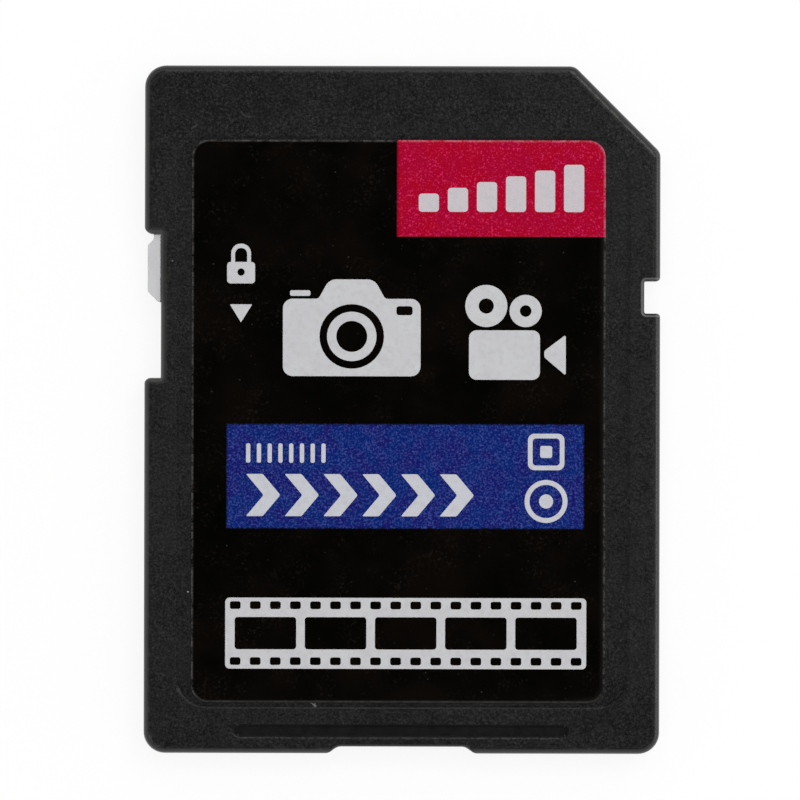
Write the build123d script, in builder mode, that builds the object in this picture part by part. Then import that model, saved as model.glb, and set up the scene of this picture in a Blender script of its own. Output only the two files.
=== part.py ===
from build123d import *
import os
from math import sqrt

# Full-size flash memory card, lying on its contact side with the label up.
# X runs towards the cut corner, Y towards the leading edge, Z up from the back face.
# All sizes are in millimetres.

# Card envelope
card_width = 24.0
card_length = 32.0
card_thickness = 2.1
rail_thickness = 1.4
rail_width = 0.8
corner_radius = 1.0
corner_cut = 4.0
corner_cut_radius = 0.55
edge_radius = 0.4
back_edge_radius = 0.2

# Latch notch in the cut-corner side
side_notch_start = 10.0
side_notch_length = 1.5
side_notch_depth = 0.75
notch_lip_radius = 0.2
notch_root_radius = 0.1
notch_edge_radius = 0.18

# Notch for the lock slider in the other side
lock_notch_start = 7.845
lock_notch_length = 6.7
lock_notch_depth = 0.765
lock_lead_lip_radius = 0.36
lock_trail_lip_radius = 0.3
lock_root_radius = 0.05
lock_edge_radius = 0.28

# Mould gate relief in the middle of the trailing edge
relief_width = 5.9
relief_depth = 0.33
relief_flank = 0.48
relief_radius = 0.5

# Finger groove along the trailing edge
groove_length = 15.62
groove_width = 0.63
groove_depth = 0.22
groove_margin = 0.75
groove_radius = 0.3
groove_wall_taper = 35

# Shallow recess for the label, measured from the card's edges
recess_side_margin = 1.4
recess_lead_margin = 3.3
recess_trail_margin = 2.1
recess_radius = 1.55
recess_depth = 0.12
recess_wall_taper = 45

# Label film and its two printed fields, measured from the recess and from the label
label_gap_left = 0.815
label_gap_right = 1.16
label_gap_lead = 0.17
label_gap_trail = 0.285
label_radius = 0.8
label_thickness = 0.1
ink_thickness = 0.02
panel_past_middle = 0.27
panel_length = 4.49
band_gap_left = 1.605
band_gap_right = 0.96
band_gap_lead = 13.18
band_length = 4.9

# Circuit board, measured from the card's edges
board_thickness = 0.3
board_side_margin = 1.45
board_lead_margin = 0.75
board_trail_margin = 1.75
board_radius = 0.3
board_clearance = 0.06

# Weld joint between the two covers, and the ledge that holds the board down
tongue_thickness = 0.4
tongue_height = 0.45
tongue_setback = 0.5
weld_clearance = 0.03
ledge_width = 0.5

# Cells that lighten the floor of the rear cover
floor_thickness = 0.35
cell_columns = 3
cell_rows = 3
cell_rib = 0.6
cell_border = 1.8
cell_radius = 0.3

# Contacts, numbered as on the card: nine starts beside the cut corner
contact_names = ("9", "1", "2", "3", "4", "5", "6", "7", "8")
contact_edge_distance = 2.625
contact_8_edge_distance = 2.25
contact_pitch_6_to_7 = 2.425
contact_pitch_7_to_8 = 1.7
contact_width = 1.6
contact_7_width = 1.3
contact_8_width = 0.9
contact_length = 4.0
contact_start = 1.35
contact_border = 0.2
contact_thickness = 0.035
contact_radius = 0.2
window_gap = 0.1
window_end_gap = 0.3
window_radius = 0.25
window_overrun = 1.0

# Chips and passives on the front of the board
memory_chip_width = 13.0
memory_chip_length = 11.5
memory_chip_height = 0.6
controller_chip_width = 5.0
controller_chip_length = 5.0
controller_chip_height = 0.5
chip_offset = 0.6
chip_border = 1.6
chip_gap = 2.4
chip_bevel = 0.06
index_mark_radius = 0.3
index_mark_inset = 0.8
index_mark_depth = 0.05
passive_length = 1.0
capacitor_width = 0.5
capacitor_height = 0.5
resistor_width = 0.5
resistor_height = 0.35
passive_cap = 0.25
passive_cap_step = 0.03
passive_gap = 0.8
capacitor_rows = 3
capacitor_pitch = 1.4
resistor_count = 5
resistor_pitch = 1.5
component_clearance = 0.05

# Lock slider: a tab in the notch, a neck through the wall and a bar behind it
tab_face_length = 2.16
tab_flank = 0.495
tab_shoulder = 0.27
tab_heel = 0.1
tab_setback = 0.147
tab_wall_clearance = 0.025
tab_back_clearance = 0.05
tab_front_clearance = 0.3
tab_radius = 0.12
tab_heel_radius = 0.2
tab_edge_radius = 0.06
neck_length = 1.8
bar_length = 3.0
bar_width = 0.6
bar_height = 0.8
nub_radius = 0.3
nub_height = 0.12
detent_depth = 0.1
slider_wall = 0.4
slide_clearance = 0.05
end_clearance = 0.025
bay_wall = 0.4

# Edges and levels that several pieces share
left = -card_width / 2
right = card_width / 2
lead = card_length / 2
trail = -card_length / 2
seam_z = card_thickness - rail_thickness
board_front_z = seam_z + board_thickness
tallest_component = max(memory_chip_height, controller_chip_height, capacitor_height, resistor_height)
cavity_ceiling_z = board_front_z + tallest_component + component_clearance
recess_floor_z = card_thickness - recess_depth
label_front_z = recess_floor_z + label_thickness

# Places of the slider and of the bay that it runs in
tab_length = tab_face_length + 2 * tab_flank
slider_travel = lock_notch_length - tab_length - 2 * end_clearance
slider_y = lead - lock_notch_start - end_clearance - tab_length / 2
slider_locked_y = slider_y - slider_travel
notch_floor_x = left + lock_notch_depth
bay_outer_x = notch_floor_x + slider_wall
bar_outer_x = bay_outer_x + slide_clearance
bar_inner_x = bar_outer_x + bar_width
nub_x = bar_inner_x + nub_height - nub_radius
bay_inner_x = bar_inner_x + nub_height + slide_clearance
bay_middle_y = (slider_y + slider_locked_y) / 2
bay_length = bar_length + slider_travel + 2 * end_clearance
slot_length = neck_length + slider_travel + 2 * end_clearance
bay_height = bar_height + 2 * slide_clearance
bay_reach_y = bay_length / 2 + bay_wall + board_clearance
board_bay_x = bay_inner_x + detent_depth + bay_wall + board_clearance

# Place and size of the label and its recess
recess_width = card_width - 2 * recess_side_margin
recess_length = card_length - recess_lead_margin - recess_trail_margin
recess_y = (recess_trail_margin - recess_lead_margin) / 2
label_left = left + recess_side_margin + label_gap_left
label_right = right - recess_side_margin - label_gap_right
label_lead = lead - recess_lead_margin - label_gap_lead
label_trail = trail + recess_trail_margin + label_gap_trail

# Places of the contacts, from the cut-corner side across the card
contact_widths = {"7": contact_7_width, "8": contact_8_width}
contact_steps = {"7": contact_pitch_6_to_7, "8": contact_pitch_7_to_8}
contact_row_length = card_width - contact_edge_distance - contact_8_edge_distance
even_steps = len(contact_names) - 1 - len(contact_steps)
contact_pitch = (contact_row_length - sum(contact_steps.values())) / even_steps
contact_9_start = (
    corner_cut - contact_edge_distance + contact_width / 2 + sqrt(2) * board_lead_margin + contact_border
)
contact_x = {}
next_x = right - contact_edge_distance
for name in contact_names:
    if name != contact_names[0]:
        next_x -= contact_steps.get(name, contact_pitch)
    contact_x[name] = next_x

# Places of the chips, counted up from the trailing end of the board
memory_chip_y = trail + board_trail_margin + chip_border + memory_chip_length / 2
controller_chip_y = memory_chip_y + memory_chip_length / 2 + chip_gap + controller_chip_length / 2


def contact_lead_distance(name):
    """Distance from the card's leading edge to the near end of a contact."""
    return contact_9_start if name == contact_names[0] else contact_start


def card_outline(side_notch=(), relief=(), lock_notch=()):
    """Front outline of the card with its cut corner, and any notch and relief corners given."""
    corners = [
        ((left, lead), corner_radius),
        ((right - corner_cut, lead), corner_cut_radius),
        ((right, lead - corner_cut), corner_cut_radius),
        *side_notch,
        ((right, trail), corner_radius),
        *relief,
        ((left, trail), corner_radius),
        *lock_notch,
    ]
    return rounded_outline(corners)


def side_notch_corners():
    """Corners of the latch notch, from its leading end."""
    notch_lead = lead - side_notch_start
    notch_trail = notch_lead - side_notch_length
    return [
        ((right, notch_lead), notch_lip_radius),
        ((right - side_notch_depth, notch_lead), notch_root_radius),
        ((right - side_notch_depth, notch_trail), notch_root_radius),
        ((right, notch_trail), notch_lip_radius),
    ]


def lock_notch_corners():
    """Corners of the lock slider's notch, from its trailing end."""
    notch_lead = lead - lock_notch_start
    notch_trail = notch_lead - lock_notch_length
    return [
        ((left, notch_trail), lock_trail_lip_radius),
        ((notch_floor_x, notch_trail), lock_root_radius),
        ((notch_floor_x, notch_lead), lock_root_radius),
        ((left, notch_lead), lock_lead_lip_radius),
    ]


def front_plate(outline, radius):
    """Plate as thick as the side rails, with a rounded front edge."""
    with BuildPart() as plate:
        with BuildSketch(Plane.XY.offset(seam_z)):
            add(outline)
        extrude(amount=rail_thickness)
        fillet(plate.faces().sort_by(Axis.Z)[-1].edges(), radius)
    return plate.part


def rear_outline():
    """Outline of the raised contact side, set in from the card by the side rails."""
    corners = [
        ((left + rail_width, lead), corner_cut_radius),
        ((right - corner_cut, lead), corner_cut_radius),
        ((right - rail_width, lead - corner_cut + rail_width), corner_cut_radius),
        ((right - rail_width, trail), corner_radius),
        *relief_corners(),
        ((left + rail_width, trail), corner_radius),
    ]
    return rounded_outline(corners)


def relief_corners():
    """Corners of the shallow relief in the trailing edge, from right to left."""
    floor_half = relief_width / 2
    mouth_half = floor_half + relief_flank
    floor_y = trail + relief_depth
    return [
        ((mouth_half, trail), relief_radius),
        ((floor_half, floor_y), relief_radius),
        ((-floor_half, floor_y), relief_radius),
        ((-mouth_half, trail), relief_radius),
    ]


def board_outline(gap):
    """Outline of the circuit board grown by a gap, with the cut-out beside the slider's bay."""
    west = left + board_side_margin - gap
    east = right - board_side_margin + gap
    north = lead - board_lead_margin + gap
    south = trail + board_trail_margin - gap
    diagonal = right + lead - corner_cut - sqrt(2) * (board_lead_margin - gap)
    bay_east = board_bay_x - gap
    bay_north = bay_middle_y + bay_reach_y - gap
    bay_south = bay_middle_y - bay_reach_y + gap
    corners = [
        ((west, north), board_radius),
        ((diagonal - north, north), board_radius),
        ((east, diagonal - east), board_radius),
        ((east, south), board_radius),
        ((west, south), board_radius),
        ((west, bay_south), board_radius),
        ((bay_east, bay_south), board_radius),
        ((bay_east, bay_north), board_radius),
        ((west, bay_north), board_radius),
    ]
    return rounded_outline(corners)


def rounded_outline(corners):
    """Closed face through corner points, each with its own radius."""
    with BuildSketch() as outline:
        with BuildLine():
            FilletPolyline(*[point for point, _ in corners], radius=[r for _, r in corners], close=True)
        make_face()
    return outline.sketch


def tongue_ring(gap):
    """Weld tongue round the two sides and the trailing end of the board, grown by a gap."""
    front_y = bay_middle_y - bay_reach_y - tongue_setback + gap
    with BuildSketch() as ring:
        add(board_outline(board_clearance + tongue_thickness + gap))
        add(board_outline(board_clearance - gap), mode=Mode.SUBTRACT)
        with Locations((0, front_y)):
            Rectangle(card_width, card_length, align=(Align.CENTER, Align.MAX), mode=Mode.INTERSECT)
    return ring.sketch


def label_outline():
    """Outline of the label film."""
    with BuildSketch() as outline:
        with Locations(((label_left + label_right) / 2, (label_lead + label_trail) / 2)):
            RectangleRounded(label_right - label_left, label_lead - label_trail, label_radius)
    return outline.sketch


def panel_outline():
    """Printed panel that fills the label's corner beside the cut corner of the card."""
    with BuildSketch() as outline:
        add(label_outline())
        with Locations((label_right, label_lead)):
            Rectangle(
                label_right + panel_past_middle,
                panel_length,
                align=(Align.MAX, Align.MAX),
                mode=Mode.INTERSECT,
            )
    return outline.sketch


def band_outline():
    """Printed band across the middle of the label."""
    band_left = label_left + band_gap_left
    band_right = label_right - band_gap_right
    with BuildSketch() as outline:
        with Locations((band_left, label_lead - band_gap_lead)):
            Rectangle(band_right - band_left, band_length, align=(Align.MIN, Align.MAX))
    return outline.sketch


def chip(width, length, height, y):
    """Moulded chip package on the board, with bevelled top edges and an index dimple."""
    mark_x = chip_offset - width / 2 + index_mark_inset
    mark_y = y + length / 2 - index_mark_inset
    with BuildPart() as package:
        with BuildSketch(Plane.XY.offset(board_front_z)):
            with Locations((chip_offset, y)):
                Rectangle(width, length)
        extrude(amount=height)
        chamfer(package.faces().sort_by(Axis.Z)[-1].edges(), chip_bevel)
        with BuildSketch(Plane.XY.offset(board_front_z + height)):
            with Locations((mark_x, mark_y)):
                Circle(index_mark_radius)
        extrude(amount=-index_mark_depth, mode=Mode.SUBTRACT)
    return package.part


def passive(width, height, x, y, turn):
    """Chip capacitor or resistor: a body between two slightly larger end caps."""
    cap_x = (passive_length - passive_cap) / 2
    with BuildPart() as component:
        with BuildSketch(Plane.XY.offset(board_front_z)):
            with Locations(Location((x, y), turn)):
                with Locations((-cap_x, 0), (cap_x, 0)):
                    Rectangle(passive_cap, width)
        extrude(amount=height)
        with BuildSketch(Plane.XY.offset(board_front_z + passive_cap_step)):
            with Locations(Location((x, y), turn)):
                Rectangle(passive_length - passive_cap, width - 2 * passive_cap_step)
        extrude(amount=height - 2 * passive_cap_step)
    return component.part


def write_piece(piece, name):
    """Label a finished piece and write its STEP file."""
    piece.label = name
    export_step(piece, f"parts/{name}.step")


os.makedirs("parts", exist_ok=True)

# Front cover: the whole outline, thick as the side rails, hollow behind the label
with BuildPart() as front_cover:
    # The outer edge is the most rounded, then the lock notch's, then those of the latch notch and the relief
    add(front_plate(card_outline(side_notch_corners(), relief_corners()), notch_edge_radius))
    add(front_plate(card_outline(lock_notch=lock_notch_corners()), lock_edge_radius), mode=Mode.INTERSECT)
    add(front_plate(card_outline(), edge_radius), mode=Mode.INTERSECT)
    # Label recess and finger groove in the front face
    with BuildSketch(Plane.XY.offset(card_thickness)):
        with Locations((0, recess_y)):
            RectangleRounded(recess_width, recess_length, recess_radius)
    extrude(amount=-recess_depth, taper=recess_wall_taper, mode=Mode.SUBTRACT)
    with BuildSketch(Plane.XY.offset(card_thickness)):
        with Locations((0, trail + groove_margin + groove_width / 2)):
            RectangleRounded(groove_length, groove_width, groove_radius)
    extrude(amount=-groove_depth, taper=groove_wall_taper, mode=Mode.SUBTRACT)
    # Seat for the board, groove for the weld tongue and room for the chips
    with BuildSketch(Plane.XY.offset(seam_z)):
        add(board_outline(board_clearance))
    extrude(amount=board_thickness, mode=Mode.SUBTRACT)
    with BuildSketch(Plane.XY.offset(seam_z)):
        add(tongue_ring(weld_clearance))
    extrude(amount=tongue_height + weld_clearance, mode=Mode.SUBTRACT)
    with BuildSketch(Plane.XY.offset(board_front_z)):
        add(board_outline(-ledge_width))
    extrude(amount=cavity_ceiling_z - board_front_z, mode=Mode.SUBTRACT)
    # Bay for the slider's bar with a detent at each end, and the slot out to the notch
    with BuildSketch(Plane.XY.offset(seam_z)):
        with Locations((bay_outer_x, bay_middle_y)):
            Rectangle(bay_inner_x - bay_outer_x, bay_length, align=(Align.MIN, Align.CENTER))
        with Locations((nub_x, slider_y), (nub_x, slider_locked_y)):
            Circle(nub_radius + slide_clearance + detent_depth)
        with Locations((bay_outer_x, bay_middle_y)):
            Rectangle(slider_wall + lock_notch_depth, slot_length, align=(Align.MAX, Align.CENTER))
    extrude(amount=bay_height, mode=Mode.SUBTRACT)
write_piece(front_cover.part, "front_cover")

# Rear cover: the raised contact side, with a window over each contact
with BuildPart() as rear_cover:
    with BuildSketch():
        add(rear_outline())
    extrude(amount=seam_z)
    fillet(rear_cover.faces().sort_by(Axis.Z)[0].edges(), back_edge_radius)
    # Windows, open at the leading edge, with a rib left between each two
    with BuildSketch():
        for name, x in contact_x.items():
            window_width = contact_widths.get(name, contact_width) + 2 * window_gap
            window_length = contact_lead_distance(name) + contact_length + window_end_gap
            with Locations((x, lead + window_overrun)):
                RectangleRounded(
                    window_width,
                    window_length + window_overrun,
                    window_radius,
                    align=(Align.CENTER, Align.MAX),
                )
    extrude(amount=seam_z, mode=Mode.SUBTRACT)
    # Cells in the floor, between ribs that the board lies on
    cell_field_width = card_width - 2 * (board_side_margin + cell_border)
    cell_field_lead = lead - contact_9_start - contact_length - window_end_gap - cell_border
    cell_field_trail = trail + board_trail_margin + cell_border
    cell_field_length = cell_field_lead - cell_field_trail
    cell_width = (cell_field_width + cell_rib) / cell_columns - cell_rib
    cell_length = (cell_field_length + cell_rib) / cell_rows - cell_rib
    with BuildSketch(Plane.XY.offset(seam_z)):
        with Locations((0, (cell_field_lead + cell_field_trail) / 2)):
            with GridLocations(cell_width + cell_rib, cell_length + cell_rib, cell_columns, cell_rows):
                RectangleRounded(cell_width, cell_length, cell_radius)
    extrude(amount=floor_thickness - seam_z, mode=Mode.SUBTRACT)
    # Tongue that is welded into the front cover
    with BuildSketch(Plane.XY.offset(seam_z)):
        add(tongue_ring(0))
    extrude(amount=tongue_height)
write_piece(rear_cover.part, "rear_cover")

# Lock slider at its unlocked end, nearest the leading edge
with BuildPart() as lock_slider:
    tab_root_x = notch_floor_x - tab_wall_clearance
    tab_face_x = left + tab_setback
    tab_lead_y = slider_y + tab_length / 2
    tab_trail_y = slider_y - tab_length / 2
    face_lead_y = tab_lead_y - tab_flank
    face_trail_y = tab_trail_y + tab_flank
    tab_height = rail_thickness - tab_back_clearance - tab_front_clearance
    # The tab has a bevel and a shoulder at its leading end, and one long slope at its trailing end
    with BuildSketch(Plane.XY.offset(seam_z + tab_back_clearance)) as tab_profile:
        with BuildLine():
            Polyline(
                (tab_root_x, tab_trail_y),
                (tab_root_x, tab_lead_y),
                (tab_face_x + tab_shoulder, tab_lead_y),
                (tab_face_x + tab_shoulder, face_lead_y + tab_shoulder),
                (tab_face_x, face_lead_y),
                (tab_face_x, face_trail_y),
                (tab_root_x - tab_heel, tab_trail_y),
                close=True,
            )
        make_face()
        fillet(tab_profile.vertices().group_by(Axis.X)[0], tab_radius)
        fillet(tab_profile.vertices().group_by(Axis.Y)[0].sort_by(Axis.X)[0], tab_heel_radius)
    extrude(amount=tab_height)
    # Its front edge is rounded, apart from the side along the notch floor
    fillet(lock_slider.faces().sort_by(Axis.Z)[-1].edges().sort_by(Axis.X)[:-1], tab_edge_radius)
    with BuildSketch(Plane.XY.offset(seam_z + slide_clearance)):
        with Locations((tab_root_x, slider_y)):
            Rectangle(bar_outer_x - tab_root_x, neck_length, align=(Align.MIN, Align.CENTER))
        with Locations((nub_x, slider_y)):
            Circle(nub_radius)
        with Locations((bar_outer_x, slider_y)):
            Rectangle(bar_width, bar_length, align=(Align.MIN, Align.CENTER))
    extrude(amount=bar_height)
write_piece(lock_slider.part, "lock_slider")

# Circuit board between the two covers
with BuildPart() as circuit_board:
    with BuildSketch(Plane.XY.offset(seam_z)):
        add(board_outline(0))
    extrude(amount=board_thickness)
write_piece(circuit_board.part, "circuit_board")

# Contacts on the back of the board, one behind each window
for name, x in contact_x.items():
    with BuildPart() as contact_pad:
        with BuildSketch(Plane.XY.offset(seam_z)):
            with Locations((x, lead - contact_lead_distance(name))):
                RectangleRounded(
                    contact_widths.get(name, contact_width),
                    contact_length,
                    contact_radius,
                    align=(Align.CENTER, Align.MAX),
                )
        extrude(amount=-contact_thickness)
    write_piece(contact_pad.part, f"contact_pad_{name}")

# Chips, with capacitors beside the controller and resistors between it and the contacts
memory_chip = chip(memory_chip_width, memory_chip_length, memory_chip_height, memory_chip_y)
write_piece(memory_chip, "memory_chip")
controller_chip = chip(
    controller_chip_width, controller_chip_length, controller_chip_height, controller_chip_y
)
write_piece(controller_chip, "controller_chip")
capacitor_x = controller_chip_width / 2 + passive_gap + passive_length / 2
for index in range(2 * capacitor_rows):
    side = -1 if index < capacitor_rows else 1
    row = index % capacitor_rows - (capacitor_rows - 1) / 2
    capacitor = passive(
        capacitor_width,
        capacitor_height,
        chip_offset + side * capacitor_x,
        controller_chip_y + row * capacitor_pitch,
        0,
    )
    write_piece(capacitor, f"capacitor_{index + 1}")
resistor_y = controller_chip_y + controller_chip_length / 2 + passive_gap + passive_length / 2
for index in range(resistor_count):
    resistor_x = chip_offset + (index - (resistor_count - 1) / 2) * resistor_pitch
    resistor = passive(resistor_width, resistor_height, resistor_x, resistor_y, 90)
    write_piece(resistor, f"resistor_{index + 1}")

# Label film in its recess, with the two printed fields let into its face
with BuildPart() as label_film:
    with BuildSketch(Plane.XY.offset(recess_floor_z)):
        add(label_outline())
    extrude(amount=label_thickness)
    with BuildSketch(Plane.XY.offset(label_front_z)):
        add(panel_outline())
        add(band_outline())
    extrude(amount=-ink_thickness, mode=Mode.SUBTRACT)
write_piece(label_film.part, "label_film")

with BuildPart() as red_print_panel:
    with BuildSketch(Plane.XY.offset(label_front_z)):
        add(panel_outline())
    extrude(amount=-ink_thickness)
write_piece(red_print_panel.part, "red_print_panel")

with BuildPart() as blue_print_band:
    with BuildSketch(Plane.XY.offset(label_front_z)):
        add(band_outline())
    extrude(amount=-ink_thickness)
write_piece(blue_print_band.part, "blue_print_band")
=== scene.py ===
from math import hypot, pi, radians

import bmesh
import bpy
from mathutils import Matrix, Vector


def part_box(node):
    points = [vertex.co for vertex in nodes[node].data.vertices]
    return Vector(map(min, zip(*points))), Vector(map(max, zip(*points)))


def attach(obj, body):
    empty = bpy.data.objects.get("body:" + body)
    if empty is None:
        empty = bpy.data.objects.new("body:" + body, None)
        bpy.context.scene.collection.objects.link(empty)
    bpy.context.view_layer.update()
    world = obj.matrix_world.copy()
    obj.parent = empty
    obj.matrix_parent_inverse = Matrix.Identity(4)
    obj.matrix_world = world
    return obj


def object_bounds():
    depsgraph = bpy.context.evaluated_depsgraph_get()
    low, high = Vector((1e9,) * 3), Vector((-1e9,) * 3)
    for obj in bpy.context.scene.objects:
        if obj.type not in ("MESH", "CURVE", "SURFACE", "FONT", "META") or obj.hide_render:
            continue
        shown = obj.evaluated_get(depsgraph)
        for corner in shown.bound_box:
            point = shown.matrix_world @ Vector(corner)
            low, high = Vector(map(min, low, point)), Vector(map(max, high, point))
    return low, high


# A memory card lies flat on a pale floor, label up, and the camera looks straight down on it.
# The frame is the CAD model's: X towards the cut corner, Y towards the leading edge, Z up.

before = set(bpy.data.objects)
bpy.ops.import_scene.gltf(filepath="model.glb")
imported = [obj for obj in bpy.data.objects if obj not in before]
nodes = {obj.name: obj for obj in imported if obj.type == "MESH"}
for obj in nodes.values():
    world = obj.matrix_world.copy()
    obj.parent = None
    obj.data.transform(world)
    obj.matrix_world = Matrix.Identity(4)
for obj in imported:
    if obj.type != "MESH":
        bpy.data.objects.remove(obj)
cad_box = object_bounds()
scene = bpy.context.scene

MM = 0.001

# Sizes of the features that the finishes follow, in millimetres
CUT_CORNER = 4.0
LABEL_RADIUS = 0.8
RECESS_SIDE_MARGIN = 1.4
RECESS_LEAD_MARGIN = 3.3
RECESS_TRAIL_MARGIN = 2.1
RECESS_RADIUS = 1.55
GROOVE_LENGTH = 15.62
GROOVE_WIDTH = 0.63
GROOVE_MARGIN = 0.75
GROOVE_RADIUS = 0.3
LATCH_NOTCH_START = 10.0
LATCH_NOTCH_LENGTH = 1.5
LATCH_NOTCH_DEPTH = 0.75
LATCH_NOTCH_RADIUS = 0.1
LOCK_NOTCH_START = 7.845
LOCK_NOTCH_LENGTH = 6.7
LOCK_NOTCH_DEPTH = 0.765
LOCK_NOTCH_RADIUS = 0.05
NOTCH_OVERRUN = 1.0
SLIDER_TAB_END = 11.0
PASSIVE_BODY_HALF = 0.25
INK_HEIGHT = 0.008


class Field:
    """An output socket of a shader node. Sums of fields are written as Python expressions."""

    def __init__(self, socket):
        self.socket = socket

    def add(self, kind, settings=(), inputs=(), output=0):
        """Adds one node to this field's tree: its settings first, then values or links."""
        tree = self.socket.id_data
        node = tree.nodes.new(kind)
        for name, value in dict(settings).items():
            setattr(node, name, value)
        for key, value in dict(inputs).items():
            if isinstance(value, Field):
                tree.links.new(value.socket, node.inputs[key])
            else:
                node.inputs[key].default_value = value
        return Field(node.outputs[output])

    def math(self, operation, *values):
        return self.add("ShaderNodeMath", {"operation": operation}, enumerate(values))

    def __add__(self, other):
        return self.math("ADD", self, other)

    def __radd__(self, other):
        return self.math("ADD", other, self)

    def __sub__(self, other):
        return self.math("SUBTRACT", self, other)

    def __rsub__(self, other):
        return self.math("SUBTRACT", other, self)

    def __mul__(self, other):
        return self.math("MULTIPLY", self, other)

    def __rmul__(self, other):
        return self.math("MULTIPLY", other, self)

    def __pow__(self, other):
        return self.math("POWER", self, other)

    def __abs__(self):
        return self.math("ABSOLUTE", self)

    def __neg__(self):
        return self.math("SUBTRACT", 0.0, self)

    def most(self, other):
        return self.math("MAXIMUM", self, other)

    def least(self, other):
        return self.math("MINIMUM", self, other)

    def fraction(self):
        return self.math("FRACT", self)

    def rise(self, start, end):
        """0 before start, 1 after end, and smooth between them. It falls where start is above end."""
        return self.add(
            "ShaderNodeMapRange", {"interpolation_type": "SMOOTHSTEP"}, {0: self, 1: start, 2: end}
        )


def axes(vector):
    """The three parts of a vector."""
    first = vector.add("ShaderNodeSeparateXYZ", {}, {0: vector})
    return [Field(socket) for socket in first.socket.node.outputs]


def blend(first, second, share):
    """One colour going over to another."""
    return share.add("ShaderNodeMix", {"data_type": "RGBA"}, {0: share, 6: first, 7: second}, output=2)


def noise(place, scale, detail=1.0, roughness=0.5):
    """Soft random field from 0 to 1, with scale cells to the millimetre."""
    return place.add(
        "ShaderNodeTexNoise",
        {},
        {"Vector": place, "Scale": scale, "Detail": detail, "Roughness": roughness},
    )


def stretched(place, x, y, z):
    """The same place with each axis scaled, for marks that run one way."""
    return place.add("ShaderNodeVectorMath", {"operation": "MULTIPLY"}, {0: place, 1: (x, y, z)})


def specks(place, scale, size, share):
    """Sparse round specks: one per cell at most, in a share of the cells."""
    distance = place.add("ShaderNodeTexVoronoi", {}, {"Vector": place, "Scale": scale})
    chance = axes(Field(distance.socket.node.outputs["Color"]))[0]
    return distance.rise(size * scale, 0.3 * size * scale) * chance.rise(1 - share, 1 - 0.6 * share)


def tint(red, green, blue):
    """Linear colour from the 0 to 255 levels that a picture shows."""
    levels = [level / 255 for level in (red, green, blue)]
    return (*(v / 12.92 if v <= 0.04045 else ((v + 0.055) / 1.055) ** 2.4 for v in levels), 1.0)


def new_finish(name, constants=()):
    """A new material: its shader with these constants, and the place on the card in millimetres."""
    material = bpy.data.materials.new(name)
    material.use_nodes = True
    tree = material.node_tree
    shader = tree.nodes["Principled BSDF"]
    for socket, value in dict(constants).items():
        shader.inputs[socket].default_value = value
    coords = Field(tree.nodes.new("ShaderNodeTexCoord").outputs["Object"])
    place = coords.add("ShaderNodeVectorMath", {"operation": "SCALE"}, {0: coords, "Scale": 1 / MM})
    return material, shader, place


def paint(shader, fields):
    """Links fields to the shader's sockets by name."""
    for name, field in fields.items():
        shader.id_data.links.new(field.socket, shader.inputs[name])


def surface_normal(place):
    """The way the surface faces."""
    return place.add("ShaderNodeNewGeometry", {}, {}, output="Normal")


def levelled(normal, share):
    """A normal turned towards straight up, so that a low wall shades like the face beside it."""
    inputs = {0: share, 4: normal, 5: (0, 0, 1)}
    mixed = normal.add("ShaderNodeMix", {"data_type": "VECTOR"}, inputs, output=1)
    return mixed.add("ShaderNodeVectorMath", {"operation": "NORMALIZE"}, {0: mixed})


def relief(height, depth, normal=None):
    """Normal for a bumpy surface whose height runs from 0 to 1, over a depth in millimetres."""
    inputs = {"Height": height, "Distance": depth * MM, "Strength": 1.0}
    if normal is not None:
        inputs["Normal"] = normal
    return height.add("ShaderNodeBump", {}, inputs)


def node_box(name):
    """A CAD node's lowest and highest corners in millimetres."""
    return [[value / MM for value in corner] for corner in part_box(name)]


# Outlines on the front face, each a lowest corner, a highest corner and a corner radius
(left, trail, _), (right, lead, _) = node_box("front_cover")
label_low, label_high = node_box("label_film")
label_trail = label_low[1]
LABEL_EDGE = (label_low, label_high, LABEL_RADIUS)
RECESS_EDGE = (
    (left + RECESS_SIDE_MARGIN, trail + RECESS_TRAIL_MARGIN),
    (right - RECESS_SIDE_MARGIN, lead - RECESS_LEAD_MARGIN),
    RECESS_RADIUS,
)
GROOVE_EDGE = (
    (-GROOVE_LENGTH / 2, trail + GROOVE_MARGIN),
    (GROOVE_LENGTH / 2, trail + GROOVE_MARGIN + GROOVE_WIDTH),
    GROOVE_RADIUS,
)
LATCH_EDGE = (
    (right - LATCH_NOTCH_DEPTH, lead - LATCH_NOTCH_START - LATCH_NOTCH_LENGTH),
    (right + NOTCH_OVERRUN, lead - LATCH_NOTCH_START),
    LATCH_NOTCH_RADIUS,
)
LOCK_EDGE = (
    (left - NOTCH_OVERRUN, lead - LOCK_NOTCH_START - LOCK_NOTCH_LENGTH),
    (left + LOCK_NOTCH_DEPTH, lead - LOCK_NOTCH_START),
    LOCK_NOTCH_RADIUS,
)

# The cut corner runs along this sum of x and y
CUT_SUM = right + lead - CUT_CORNER


def past_edge(x, y, outline):
    """Distance outside a rounded rectangle in millimetres: below zero inside it."""
    low, high, radius = outline
    over_x = abs(x - (low[0] + high[0]) / 2) - ((high[0] - low[0]) / 2 - radius)
    over_y = abs(y - (low[1] + high[1]) / 2) - ((high[1] - low[1]) / 2 - radius)
    corner_x = over_x.most(0.0)
    corner_y = over_y.most(0.0)
    corner = (corner_x * corner_x + corner_y * corner_y) ** 0.5
    return corner + over_x.most(over_y).least(0.0) - radius


def spot(x, y, middle, size):
    """One small round mark."""
    over_x = x - middle[0]
    over_y = y - middle[1]
    return (over_x * over_x + over_y * over_y).rise(size * size, 0.1 * size * size)


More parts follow.
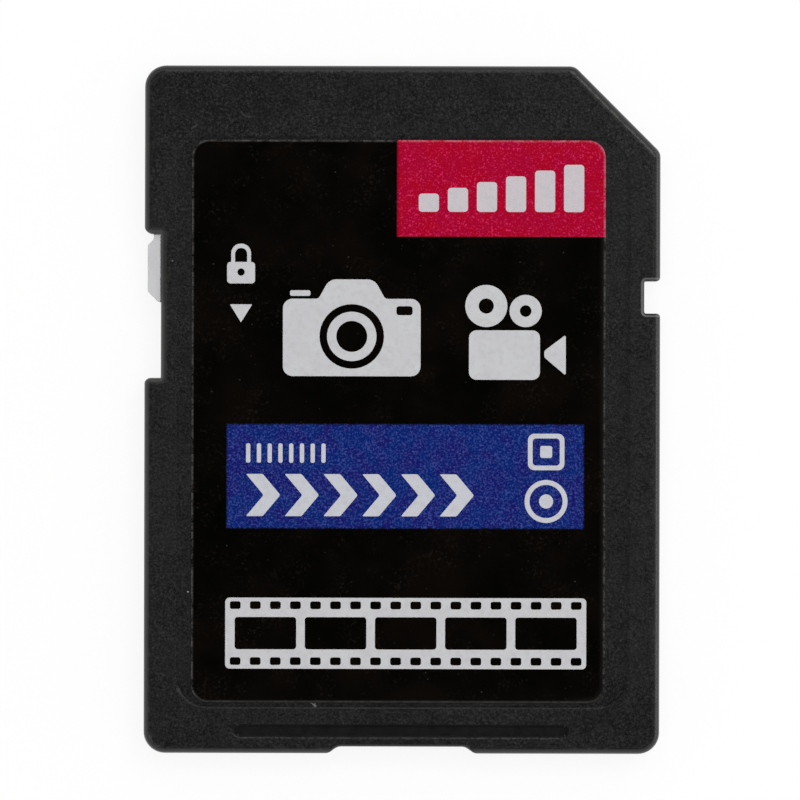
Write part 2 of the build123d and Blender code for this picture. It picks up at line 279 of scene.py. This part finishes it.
def scratch(x, y, start, end, start_width, end_width):
    """One fine straight scratch between two points, with its half width at each."""
    run_x = end[0] - start[0]
    run_y = end[1] - start[1]
    length = hypot(run_x, run_y)
    over_x = x - start[0]
    over_y = y - start[1]
    along = (over_x * run_x + over_y * run_y) * (1 / length**2)
    across = abs(over_x * run_y - over_y * run_x) * (1 / length)
    width = start_width + along * (end_width - start_width)
    return (across - width).rise(0.0, -0.012) * along.rise(-0.05, 0.05) * along.rise(1.05, 0.95)


class HousingFace:
    """A place on the housing: which way it faces, and which moulded features it belongs to."""

    def __init__(self, place):
        self.place = place
        self.x, self.y, z = axes(place)
        self.normal = surface_normal(place)
        self.facing_x, self.facing_y, facing_z = axes(self.normal)
        self.upright = abs(facing_z)
        self.front = z.rise(1.5, 1.7)
        self.recess_edge = past_edge(self.x, self.y, RECESS_EDGE)
        self.recessed = self.recess_edge.rise(0.03, -0.01) * self.front
        self.recess_wall = self.recessed * self.facing_y.rise(0.3, 0.6)
        self.groove_edge = past_edge(self.x, self.y, GROOVE_EDGE)
        self.groove = self.groove_edge.rise(0.02, -0.01) * self.front
        self.textured = self.upright.rise(0.95, 0.998).most(self.recessed) * (1 - self.groove)
        self.lock_rim = past_edge(self.x, self.y, LOCK_EDGE).rise(0.36, 0.16) * self.front
        along_tab = self.y.rise(lead - SLIDER_TAB_END - 0.4, lead - SLIDER_TAB_END + 0.4)
        self.beside_tab = along_tab * (-self.facing_x).rise(0.2, 0.5)
        self.pits = noise(place, 8.0, 2.0, 0.85)
        self.flecks = noise(place, 6.0, 2.0).rise(0.32, 0.68)


def housing_tone_and_painted_light(face):
    """Share of the lighter plastic: fine pits that come and go over broader blotches, plus painted light and
    shade.
    """
    x, y, place = face.x, face.y, face.place
    patch = noise(place, 0.9, 2.0).rise(0.3, 0.7)
    grain = ((face.pits * 2.0) ** 3.0 - 1.0) * (0.65 + 0.6 * patch)
    grain = grain * (0.1 + 0.9 * face.textured) * (0.27 + 0.05 * y.rise(8.0, 14.0))
    blotches = noise(place, 1.6, 2.0, 0.7) - 0.5
    cloud = noise(place, 0.4, 1.0) - 0.5
    level = 0.25 + grain + 0.38 * blotches + 0.18 * cloud

    # Painted shade at both ends, on the leading edge and beside the tab, and painted light by the cut corner
    ends = 0.1 * y.rise(10.5, 15.0) + 0.05 * y.rise(-10.5, -15.0)
    near_cut = (x + y).rise(12.0, 26.0)
    leading = face.facing_y.rise(0.35, 0.7) * y.rise(lead - 0.5, lead - 0.35) * face.front
    level = level - ends + 0.08 * near_cut - 0.2 * leading - 0.16 * face.lock_rim * face.beside_tab

    # Painted light along the label, darker in the groove, and painted shade on the recess's trailing wall
    beside_label = past_edge(x, y, LABEL_EDGE).rise(0.2, 0.02)
    level = level + face.recessed * (0.14 * beside_label - 0.02)
    return level - 0.03 * face.groove - 0.16 * face.recess_wall


def housing_dust_wear_and_highlights(face):
    """Dust, scuffed edges, and pale grains on the cut corner, leading edge, lips and lock notch, most of it
    painted highlight.
    """
    x, y, place = face.x, face.y, face.place
    upright, front, flecks = face.upright, face.front, face.flecks
    dust = specks(place, 1.1, 0.05, 0.25) * face.textured
    # Lighter scuffed patches on the rounded edges: partly wear, partly painted highlight
    edges = upright.rise(0.80, 0.93) * upright.rise(0.999, 0.97) * front * (1 - face.recessed)
    scuffs_and_sheen = edges * noise(place, 5.0, 2.0).rise(0.45, 0.75)

    # Painted highlights on the groove's lower lip and the lip of the recess's trailing wall, which face the
    # light from above
    groove_lip_highlight = abs(face.groove_edge - 0.015).rise(0.07, 0.02)
    groove_lip_highlight = groove_lip_highlight * y.rise(trail + 0.95, trail + 0.85) * x.rise(7.7, 7.3) * front
    recess_lip_highlight = face.recess_wall * face.recess_edge.rise(-0.08, -0.04) * (0.2 + flecks)
    # Pale grains on the cut corner's and leading edge's rounding and inside the cut: partly wear, partly
    # painted highlight
    brink = upright.rise(0.89, 0.94) * upright.rise(0.9985, 0.975) * front
    on_cut = (face.facing_x * face.facing_y).rise(0.004, 0.02) * (0.3 + 1.4 * flecks)
    on_lead = face.facing_y.rise(0.1, 0.25) * 0.95 * flecks
    inside_cut = (x + y).rise(CUT_SUM - 0.68, CUT_SUM - 0.42) * upright.rise(0.98, 0.995) * front

    rubbed_and_highlit = groove_lip_highlight * noise(place, 7.0, 2.0).rise(0.3, 0.7)
    rubbed_and_highlit = rubbed_and_highlit.most(brink * (on_cut + on_lead)).most(inside_cut * flecks).most(recess_lip_highlight * 0.4)
    # Painted highlight on the lock notch's rim, fainter beside the tab
    rubbed_and_highlit = rubbed_and_highlit.most(face.lock_rim * (0.75 - 0.6 * face.beside_tab))
    return (dust * 0.5).most(scuffs_and_sheen * 0.35).most(rubbed_and_highlit * 0.65)


def housing_nicks_and_rim_highlight(face):
    """Nicks and scratches down to pale plastic, a curled hair, and a painted highlight on the latch notch's
    rim.
    """
    x, y = face.x, face.y
    nicks = spot(x, y, (-9.94, -8.49), 0.05).most(spot(x, y, (-10.69, 6.89), 0.045) * 0.4)
    nicks = nicks.most(scratch(x, y, (-4.25, -13.61), (-3.97, -13.81), 0.018, 0.06) * 0.42)
    nicks = nicks.most(scratch(x, y, (-4.02, -13.59), (-4.01, -13.83), 0.015, 0.05) * 0.4)
    nicks = nicks.most(scratch(x, y, (-9.844, 13.021), (-9.552, 13.226), 0.055, 0.04) * 0.09)
    hair = ((-7.513, 13.849), (-7.429, 13.71), (-7.252, 13.595), (-7.034, 13.604))
    for start, end in zip(hair, hair[1:]):
        nicks = nicks.most(scratch(x, y, start, end, 0.04, 0.04) * 0.07)
    # Painted highlight along the latch notch's rim, fainter where it faces the leading edge
    latch_rim_highlight = abs(past_edge(x, y, LATCH_EDGE) - 0.12).rise(0.065, 0.015) * face.front
    latch_rim_highlight = latch_rim_highlight * (1 - 0.6 * face.facing_y.rise(0.2, 0.6))
    return (nicks * face.front).most(latch_rim_highlight * 0.3)


def housing_finish():
    """Spark-eroded black plastic, smooth on its rounded edges and in the finger groove."""
    material, shader, place = new_finish("housing_black")
    face = HousingFace(place)
    # Grain with painted light and shade, then dust, wear and painted highlights, then nicks and the latch
    # rim's painted highlight
    colour = blend(tint(8, 8, 8), tint(52, 52, 52), housing_tone_and_painted_light(face))
    colour = blend(colour, tint(66, 65, 64), housing_dust_wear_and_highlights(face))
    colour = blend(colour, tint(150, 150, 150), housing_nicks_and_rim_highlight(face))
    rough = 0.26 + 0.2 * face.textured + 0.14 * face.groove + (face.pits - 0.5) * 0.2

    # The recess's walls, but for the trailing one, and the groove's ends hardly show
    hidden = face.recessed * (face.facing_y + 0.5 * face.facing_x).rise(0.69, 0.55) * 0.8
    hidden = hidden.most(face.groove * abs(face.facing_x).rise(0.15, 0.5) * 0.9)
    normal = levelled(face.normal, hidden)
    bumps = relief(face.pits * (0.1 + 0.9 * face.textured), 0.02, normal)
    paint(shader, {"Base Color": colour, "Roughness": rough, "Normal": bumps})
    return material


def cut_line(place, x, y):
    """Uneven line along the label's cut edge, where its pale core shows, and calmer at the foot."""
    edge = past_edge(x, y, LABEL_EDGE)
    uneven = noise(place, 3.0, 2.0).rise(0.38, 0.62) * 0.65
    uneven = uneven + noise(place, 11.0, 1.0).rise(0.4, 0.6) * 0.45
    calm = y.rise(label_trail + 0.5, label_trail + 0.1)
    uneven = uneven + calm * 0.75 * (0.42 - uneven)
    return edge.rise(-0.125, -0.03) * (0.04 + uneven)


def label_finish():
    """Glossy black film with sparse specks, and a pale uneven line where it was cut."""
    material, shader, place = new_finish("label_black")
    x, y, _ = axes(place)
    film = noise(place, 0.35, 2.0, 0.6).rise(0.3, 0.7)
    black = blend(tint(1, 1, 0), tint(8, 5, 3), film)
    haze = noise(place, 8.0, 1.0).rise(0.5, 0.8) * noise(place, 0.8, 2.0).rise(0.4, 0.75)
    foot = y.rise(label_trail + 1.6, label_trail - 0.2)
    black = blend(black, tint(34, 28, 24), haze * 0.5 + 0.07 * foot)
    lint = (specks(place, 1.6, 0.05, 0.35) * 0.5).most(specks(place, 3.4, 0.035, 0.3) * 0.3)
    black = blend(black, tint(70, 68, 66), lint)
    lifted = past_edge(x, y, LABEL_EDGE).rise(-0.32, -0.1) * x.rise(7.0, 9.0)
    black = blend(black, tint(84, 82, 80), lifted * 0.05)
    line = cut_line(place, x, y)
    colour = blend(black, tint(84, 82, 80), line * 0.6)
    rough = 0.18 + 0.1 * noise(place, 1.2, 3.0) + 0.3 * line
    paint(shader, {"Base Color": colour, "Roughness": rough})
    return material


def red_ink_finish():
    """Crimson print with fine lighter dots, thin at its inner edges and pink where the label is cut."""
    material, shader, place = new_finish("ink_red")
    x, y, _ = axes(place)
    low, _ = node_box("red_print_panel")
    inside_left = x - low[0]
    inside_trail = y - low[1]
    dots = noise(place, 10.0, 1.0, 0.9).rise(0.54, 0.70)
    patch = noise(place, 2.2, 2.0).rise(0.3, 0.7)
    crimson = blend(tint(161, 0, 34), tint(158, 0, 44), noise(place, 1.1, 2.0).rise(0.35, 0.65))
    border = inside_trail.rise(0.1, 0.04) * noise(place, 8.0, 1.0).rise(0.45, 0.6)
    colour = blend(crimson, tint(218, 47, 100), (dots * (0.32 + 0.52 * patch)).most(0.4 * border))
    covered = inside_left.rise(-0.05, 0.15).least(inside_trail.rise(-0.06, 0.08))
    colour = blend(tint(96, 0, 18), colour, covered)
    line = cut_line(place, x, y)
    colour = blend(colour, tint(200, 120, 134), line * 0.55)
    rough = 0.24 + 0.12 * noise(place, 1.2, 3.0) + 0.2 * line
    paint(shader, {"Base Color": colour, "Roughness": rough})
    return material


def blue_ink_finish():
    """Dark blue print, mottled with lighter dots and ragged at its edges."""
    material, shader, place = new_finish("ink_blue")
    x, y, _ = axes(place)
    inside = -past_edge(x, y, (*node_box("blue_print_band"), 0.02))
    dots = noise(place, 10.0, 1.0, 0.9).rise(0.44, 0.70)
    patch = noise(place, 1.3, 2.0).rise(0.35, 0.65)
    cover = noise(place, 2.6, 2.0)
    dark = blend(tint(2, 31, 102), tint(18, 18, 95), patch)
    colour = blend(dark, tint(64, 80, 148), dots * (0.18 + 0.88 * cover))
    ragged = inside + (noise(place, 9.0, 1.0) - 0.5) * 0.14
    colour = blend(tint(7, 7, 10), colour, ragged.rise(-0.01, 0.1))
    rough = 0.24 + 0.12 * noise(place, 1.2, 3.0)
    paint(shader, {"Base Color": colour, "Roughness": rough})
    return material


def white_ink_finish():
    """White print, a little uneven in cover, which lets some of the red or blue under it through."""
    material, shader, place = new_finish("ink_white")
    x, y, _ = axes(place)
    cover = noise(place, 4.0, 3.0, 0.6)
    cast = noise(place, 1.1, 1.0).rise(0.3, 0.7)
    pale = blend(tint(192, 191, 195), tint(194, 195, 196), cast)
    shades = {"red_print_panel": tint(195, 187, 192), "blue_print_band": tint(192, 194, 201)}
    for field, shade in shades.items():
        over_field = past_edge(x, y, (*node_box(field), 0.02)).rise(0.1, -0.1)
        pale = blend(pale, shade, over_field)
    colour = blend(tint(184, 183, 186), pale, cover.rise(0.2, 0.6))
    rough = 0.3 + 0.15 * noise(place, 2.0, 2.0)
    paint(shader, {"Base Color": colour, "Roughness": rough})
    return material


def slider_finish():
    """Light grey moulded plastic, handled smooth."""
    material, shader, place = new_finish("slider_grey")
    flow = noise(stretched(place, 1.0, 0.3, 1.0), 3.0, 3.0)
    fine = noise(place, 14.0, 1.0)
    colour = blend(tint(190, 190, 192), tint(204, 204, 206), flow)
    rough = 0.38 + 0.2 * flow
    paint(shader, {"Base Color": colour, "Roughness": rough, "Normal": relief(fine, 0.002)})
    return material


def gold_finish():
    """Gold plating with fine wipe marks along the way in."""
    material, shader, place = new_finish("contact_gold", {"Metallic": 1.0})
    wipes = noise(stretched(place, 9.0, 0.25, 1.0), 3.0, 3.0)
    worn = noise(place, 1.2, 2.0)
    colour = blend(tint(224, 184, 104), tint(240, 208, 140), wipes.rise(0.3, 0.7))
    rough = 0.16 + 0.2 * wipes + 0.12 * worn
    paint(shader, {"Base Color": colour, "Roughness": rough, "Normal": relief(wipes, 0.003)})
    return material


def board_finish():
    """Green solder resist over faint copper tracks."""
    material, shader, place = new_finish("board_green", {"Coat Weight": 0.3})
    x = axes(place)[0]
    tracks_per_mm = 1.25
    track = abs((x * tracks_per_mm).fraction() - 0.5).rise(0.2, 0.26)
    mottled = noise(place, 6.0, 2.0)
    colour = blend(tint(14, 62, 36), tint(34, 96, 54), track * 0.7 + mottled * 0.3)
    rough = 0.3 + 0.15 * mottled
    paint(shader, {"Base Color": colour, "Roughness": rough, "Normal": relief(track, 0.01)})
    return material


def chip_finish():
    """Matt moulding compound with fine filler specks."""
    material, shader, place = new_finish("chip_black")
    filler = noise(place, 12.0, 2.0)
    colour = blend(tint(30, 30, 32), tint(52, 52, 54), filler.rise(0.3, 0.8))
    rough = 0.5 + 0.25 * filler
    paint(shader, {"Base Color": colour, "Roughness": rough, "Normal": relief(filler, 0.006)})
    return material


def passive_finish(node, name, dark, pale):
    """Chip component: a mottled ceramic body between two tinned ends, measured from its own middle."""
    material, shader, place = new_finish(name)
    low, high = node_box(node)
    long_axis = 0 if high[0] - low[0] > high[1] - low[1] else 1
    middle = (low[long_axis] + high[long_axis]) / 2
    from_middle = abs(axes(place)[long_axis] - middle)
    tinned = from_middle.rise(PASSIVE_BODY_HALF - 0.005, PASSIVE_BODY_HALF + 0.005)
    mottled = noise(place, 14.0, 2.0)
    ceramic = blend(dark, pale, mottled)
    tin = blend(tint(176, 176, 172), tint(206, 206, 204), mottled)
    colour = blend(ceramic, tin, tinned)
    rough = 0.45 - 0.15 * tinned + 0.1 * mottled
    paint(shader, {"Base Color": colour, "Metallic": tinned, "Roughness": rough})
    return material


# The white print: thin solids on the label, each from flat outlines with rounded corners
ink_level = label_high[2] * MM


def corner_loop(bm, corners):
    """Closed outline through corners, each an x, a y and a radius in millimetres."""
    verts = [bm.verts.new((x * MM, y * MM, ink_level)) for x, y, _ in corners]
    bm.faces.new(verts)
    for vert, (_, _, radius) in zip(verts, corners):
        if radius:
            bmesh.ops.bevel(
                bm,
                geom=[vert],
                offset=radius * MM,
                offset_type="OFFSET",
                segments=6,
                profile=0.5,
                affect="VERTICES",
                material=-1,
            )


def box_loop(bm, x, y, width, length, radius):
    """Rounded rectangle about a middle."""
    near_x, far_x = x - width / 2, x + width / 2
    near_y, far_y = y - length / 2, y + length / 2
    corners = [(near_x, near_y), (far_x, near_y), (far_x, far_y), (near_x, far_y)]
    corner_loop(bm, [(*corner, radius) for corner in corners])


def round_loop(bm, x, y, radius):
    """Circle about a middle."""
    place = Matrix.Translation((x * MM, y * MM, ink_level))
    bmesh.ops.create_circle(bm, cap_ends=False, radius=radius * MM, segments=40, matrix=place)


def print_area(bm, *loops):
    """Fills an outline, leaves out the outlines inside it, and gives the ink its thickness."""
    earlier = set(bm.edges)
    for make, *sizes in loops:
        make(bm, *sizes)
    edges = [edge for edge in bm.edges if edge not in earlier]
    faces = list({face for edge in edges for face in edge.link_faces})
    bmesh.ops.delete(bm, geom=faces, context="FACES_ONLY")
    filled = bmesh.ops.triangle_fill(bm, edges=edges, use_beauty=True, use_dissolve=False, normal=(0, 0, 1))
    faces = [item for item in filled["geom"] if isinstance(item, bmesh.types.BMFace)]
    raised = bmesh.ops.extrude_face_region(bm, geom=faces)
    verts = [item for item in raised["geom"] if isinstance(item, bmesh.types.BMVert)]
    bmesh.ops.translate(bm, verts=verts, vec=(0, 0, INK_HEIGHT * MM))


def finish_print(bm, name, material):
    """Turns the printed areas into a piece that rides on the card."""
    bmesh.ops.recalc_face_normals(bm, faces=bm.faces[:])
    mesh = bpy.data.meshes.new(name)
    bm.to_mesh(mesh)
    bm.free()
    mesh.materials.append(material)
    piece = bpy.data.objects.new(name, mesh)
    scene.collection.objects.link(piece)
    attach(piece, "card")


def print_capacity_gauge(material):
    """Six bars rising across the red panel."""
    bm = bmesh.new()
    width, gap, radius = 0.94, 0.41, 0.16
    first_left, base = 0.75, 9.2
    shortest, step = 0.85, 0.27
    for index in range(6):
        height = shortest + index * step
        middle = first_left + width / 2 + index * (width + gap)
        print_area(bm, (box_loop, middle, base + height / 2, width, height, radius))
    finish_print(bm, "capacity_gauge_print", material)


def print_lock_mark(material):
    """Closed padlock, and an arrow that points the slider's way."""
    bm = bmesh.new()
    x = -7.5
    print_area(bm, (box_loop, x, 6.35, 1.3, 1.0, 0.16), (round_loop, x, 6.38, 0.17))
    outer, inner = 0.46, 0.28
    foot, inner_crown, outer_crown = 6.85, 7.5, 7.7
    inner_radius, outer_radius = 0.27, 0.44
    shackle = [
        (x - outer, foot, 0),
        (x - inner, foot, 0),
        (x - inner, inner_crown, inner_radius),
        (x + inner, inner_crown, inner_radius),
        (x + inner, foot, 0),
        (x + outer, foot, 0),
        (x + outer, outer_crown, outer_radius),
        (x - outer, outer_crown, outer_radius),
    ]
    print_area(bm, (corner_loop, shackle))
    half_width, top, tip, radius = 0.52, 4.88, 4.04, 0.04
    arrow = [(x - half_width, top, radius), (x, tip, radius), (x + half_width, top, radius)]
    print_area(bm, (corner_loop, arrow))
    finish_print(bm, "lock_mark_print", material)


def print_photo_camera(material):
    """Still camera: body with a viewfinder hump, lens rings, a flash window and a shutter button."""
    bm = bmesh.new()
    x, y = -2.35, 3.55
    half_width, bottom, top, radius = 3.2, y - 2.0, y + 1.6, 0.45
    hump_foot, hump_half, hump_top = 1.55, 1.05, y + 2.5
    body = [
        (x - half_width, bottom, radius),
        (x + half_width, bottom, radius),
        (x + half_width, top, radius),
        (x + hump_foot, top, 0.12),
        (x + hump_half, hump_top, 0.3),
        (x - hump_half, hump_top, 0.3),
        (x - hump_foot, top, 0.12),
        (x - half_width, top, radius),
    ]
    lens_y = y - 0.15
    flash_window = (box_loop, x + 2.45, y + 1.05, 0.75, 0.42, 0.12)
    print_area(bm, (corner_loop, body), (round_loop, x, lens_y, 1.5), flash_window)
    print_area(bm, (round_loop, x, lens_y, 1.15), (round_loop, x, lens_y, 0.72))
    print_area(bm, (box_loop, x - 2.4, y + 1.86, 0.95, 0.26, 0.08))
    finish_print(bm, "photo_camera_print", material)


def print_film_camera(material):
    """Film camera: two reels over a body with a lens hood."""
    bm = bmesh.new()
    x, y = 4.75, 2.75
    print_area(bm, (box_loop, x, y - 0.2, 3.3, 2.3, 0.35))
    hood_root, hood_mouth = x + 1.85, x + 2.85
    hood = [
        (hood_root, y - 0.3, 0.08),
        (hood_mouth, y - 1.15, 0.12),
        (hood_mouth, y + 0.75, 0.12),
        (hood_root, y, 0.08),
    ]
    print_area(bm, (corner_loop, hood))
    for reel_x, radius in ((x - 0.85, 0.98), (x + 0.98, 0.75)):
        reel_y = y + 1.1 + radius
        print_area(bm, (round_loop, reel_x, reel_y, radius), (round_loop, reel_x, reel_y, 0.36 * radius))
    finish_print(bm, "film_camera_print", material)


def print_speed_marks(material):
    """A row of ticks and a row of chevrons on the blue band."""
    bm = bmesh.new()
    first_tick, tick_pitch, tick_row = -7.15, 0.5, -2.03
    for index in range(8):
        print_area(bm, (box_loop, first_tick + index * tick_pitch, tick_row, 0.2, 0.9, 0.08))
    first_chevron, chevron_pitch = -7.25, 1.8
    top, bottom, middle = -3.0, -4.96, -3.98
    limb, notch, tip = 0.78, 0.82, 1.6
    for index in range(6):
        x = first_chevron + index * chevron_pitch
        chevron = [
            (x, bottom, 0.06),
            (x + limb, bottom, 0.06),
            (x + tip, middle, 0.08),
            (x + limb, top, 0.06),
            (x, top, 0.06),
            (x + notch, middle, 0.08),
        ]
        print_area(bm, (corner_loop, chevron))
    finish_print(bm, "speed_marks_print", material)


def print_class_marks(material):
    """Two plain marks at the end of the blue band: a square and a ring, each about a dot."""
    bm = bmesh.new()
    x, square_y, ring_y = 6.7, -1.95, -4.25
    print_area(bm, (box_loop, x, square_y, 1.7, 1.7, 0.3), (box_loop, x, square_y, 1.26, 1.26, 0.16))
    print_area(bm, (box_loop, x, square_y, 0.56, 0.56, 0.1))
    print_area(bm, (round_loop, x, ring_y, 1.0), (round_loop, x, ring_y, 0.77))
    print_area(bm, (round_loop, x, ring_y, 0.33))
    finish_print(bm, "class_marks_print", material)


def print_film_strip(material):
    """A length of film across the foot of the label."""
    bm = bmesh.new()
    x, y, width, length = 0.19, -10.4, 16.78, 3.3
    hole_count, hole_row = 18, 1.3
    frame_count, frame_pitch = 5, 3.26
    loops = [(box_loop, x, y, width, length, 0.2)]
    for index in range(hole_count):
        hole_x = x + (index - (hole_count - 1) / 2) * width / hole_count
        for side in (-1, 1):
            loops.append((box_loop, hole_x, y + side * hole_row, 0.5, 0.36, 0.1))
    for index in range(frame_count):
        frame_x = x + (index - (frame_count - 1) / 2) * frame_pitch
        loops.append((box_loop, frame_x, y, 2.86, 1.5, 0.14))
    print_area(bm, *loops)
    finish_print(bm, "film_strip_print", material)


def finish_pieces():
    """Gives every CAD node its finish and prints the label."""
    finishes = {
        "front_cover": housing_finish(),
        "lock_slider": slider_finish(),
        "label_film": label_finish(),
        "red_print_panel": red_ink_finish(),
        "blue_print_band": blue_ink_finish(),
        "circuit_board": board_finish(),
        "memory_chip": chip_finish(),
    }
    finishes["rear_cover"] = finishes["front_cover"]
    finishes["controller_chip"] = finishes["memory_chip"]
    gold = gold_finish()
    for name, node in nodes.items():
        if name.startswith("contact_pad"):
            finishes[name] = gold
        elif name.startswith("capacitor"):
            finishes[name] = passive_finish(name, f"{name}_tan", tint(150, 112, 78), tint(176, 138, 100))
        elif name.startswith("resistor"):
            finishes[name] = passive_finish(name, f"{name}_dark", tint(30, 30, 32), tint(44, 44, 48))
        node.material_slots[0].material = finishes[name]
    white = white_ink_finish()
    print_capacity_gauge(white)
    print_lock_mark(white)
    print_photo_camera(white)
    print_film_camera(white)
    print_speed_marks(white)
    print_class_marks(white)
    print_film_strip(white)


def lay_floor():
    """Pale floor that keeps the card's shadow and reads as white. It can be looked through from below."""
    half_size, gap, glow_share = 600.0, 0.01, 0.86
    bm = bmesh.new()
    bmesh.ops.create_grid(bm, x_segments=1, y_segments=1, size=half_size * MM)
    bmesh.ops.translate(bm, verts=bm.verts[:], vec=(0, 0, -gap * MM))
    mesh = bpy.data.meshes.new("floor")
    bm.to_mesh(mesh)
    bm.free()
    floor = bpy.data.objects.new("floor", mesh)
    scene.collection.objects.link(floor)
    constants = {"Roughness": 0.9, "Base Color": (0.95, 0.95, 0.95, 1.0)}
    material, shader, place = new_finish("pale_floor", constants)
    mesh.materials.append(material)
    seen = seen_directly(place)
    glow = place.add("ShaderNodeEmission", {}, {"Color": (1.0, 1.0, 1.0, 1.0), "Strength": 1.0})
    shares = {0: seen * glow_share, 1: Field(shader.outputs[0]), 2: glow}
    lit = place.add("ShaderNodeMixShader", {}, shares)
    below = place.add("ShaderNodeNewGeometry", {}, {}, output="Backfacing")
    clear = place.add("ShaderNodeBsdfTransparent")
    through = place.add("ShaderNodeMixShader", {}, {0: below, 1: lit, 2: clear})
    tree = material.node_tree
    tree.links.new(through.socket, tree.nodes["Material Output"].inputs["Surface"])


def seen_directly(field):
    """1 for what the camera, a reflection or a clear piece sees, and 0 for light that bounces."""
    camera = field.add("ShaderNodeLightPath", {}, {}, output="Is Camera Ray")
    outputs = camera.socket.node.outputs
    return camera.most(Field(outputs["Is Glossy Ray"])).most(Field(outputs["Is Transmission Ray"]))


def hang_lights():
    """Light tent that is dark overhead, so that the glossy label stays black, and four soft lamps."""
    world = bpy.data.worlds.new("light_tent")
    world.use_nodes = True
    scene.world = world
    tree = world.node_tree
    way = Field(tree.nodes.new("ShaderNodeTexCoord").outputs["Generated"])
    _, y, z = axes(way)
    dusk = z.rise(0.3, 0.0) * y.rise(-0.2, 0.6)
    walls = z.rise(0.82, 0.35) * (0.85 - 0.4 * dusk) + 0.01
    camera = way.add("ShaderNodeLightPath", {}, {}, output="Is Camera Ray")
    level = walls * (1 - camera) + camera
    tree.links.new(level.socket, tree.nodes["Background"].inputs["Strength"])
    tree.nodes["Background"].inputs["Color"].default_value = (1.0, 1.0, 1.0, 1.0)
    add_lamp("strip_right", (0.30, 0.04, 0.065), (0, 1, 0), width=0.03, length=0.40, radiance=3.8)
    add_lamp("softbox_top", (0.0, 0.29, 0.23), (1, 0, 0), width=0.05, length=0.40, radiance=1.2)
    add_lamp("softbox_corner", (0.146, 0.146, 0.28), (1, -1, 0), width=0.05, length=0.20, radiance=3.0)

    # The ceiling lamp lights the card without showing in its gloss
    ceiling = add_lamp("ceiling_softbox", (0.05, 0.06, 0.5), (1, 0, 0), width=0.5, length=0.5, radiance=2.85)
    ceiling.visible_glossy = False
    ceiling.data.cycles.use_multiple_importance_sampling = False


def add_lamp(name, position, along, width, length, radiance):
    """Area lamp at a position in metres, facing the card, with its long side along a direction."""
    lamp = bpy.data.lights.new(name, "AREA")
    lamp.shape = "RECTANGLE"
    lamp.size = length
    lamp.size_y = width
    lamp.energy = radiance * pi * width * length
    holder = bpy.data.objects.new(name, lamp)
    scene.collection.objects.link(holder)
    back = Vector(position).normalized()
    side = Vector(along)
    side = (side - back * side.dot(back)).normalized()
    turn = Matrix((side, back.cross(side), back)).transposed()
    holder.matrix_world = Matrix.Translation(position) @ turn.to_4x4()
    return holder


def set_camera():
    """Camera straight above the card, with the photograph's frame and its slight turn."""
    height, field_width = 250.0, 37.18
    middle_x, middle_y, turn = -0.100, 0.450, 0.14
    camera = bpy.data.cameras.new("camera")
    camera.sensor_width = 36.0
    camera.lens = camera.sensor_width * height / field_width
    holder = bpy.data.objects.new("camera", camera)
    scene.collection.objects.link(holder)
    holder.location = (middle_x * MM, middle_y * MM, cad_box[1][2] + height * MM)
    holder.rotation_euler = (0.0, 0.0, radians(turn))
    scene.camera = holder


finish_pieces()
lay_floor()
hang_lights()
set_camera()
scene.view_settings.view_transform = "Standard"
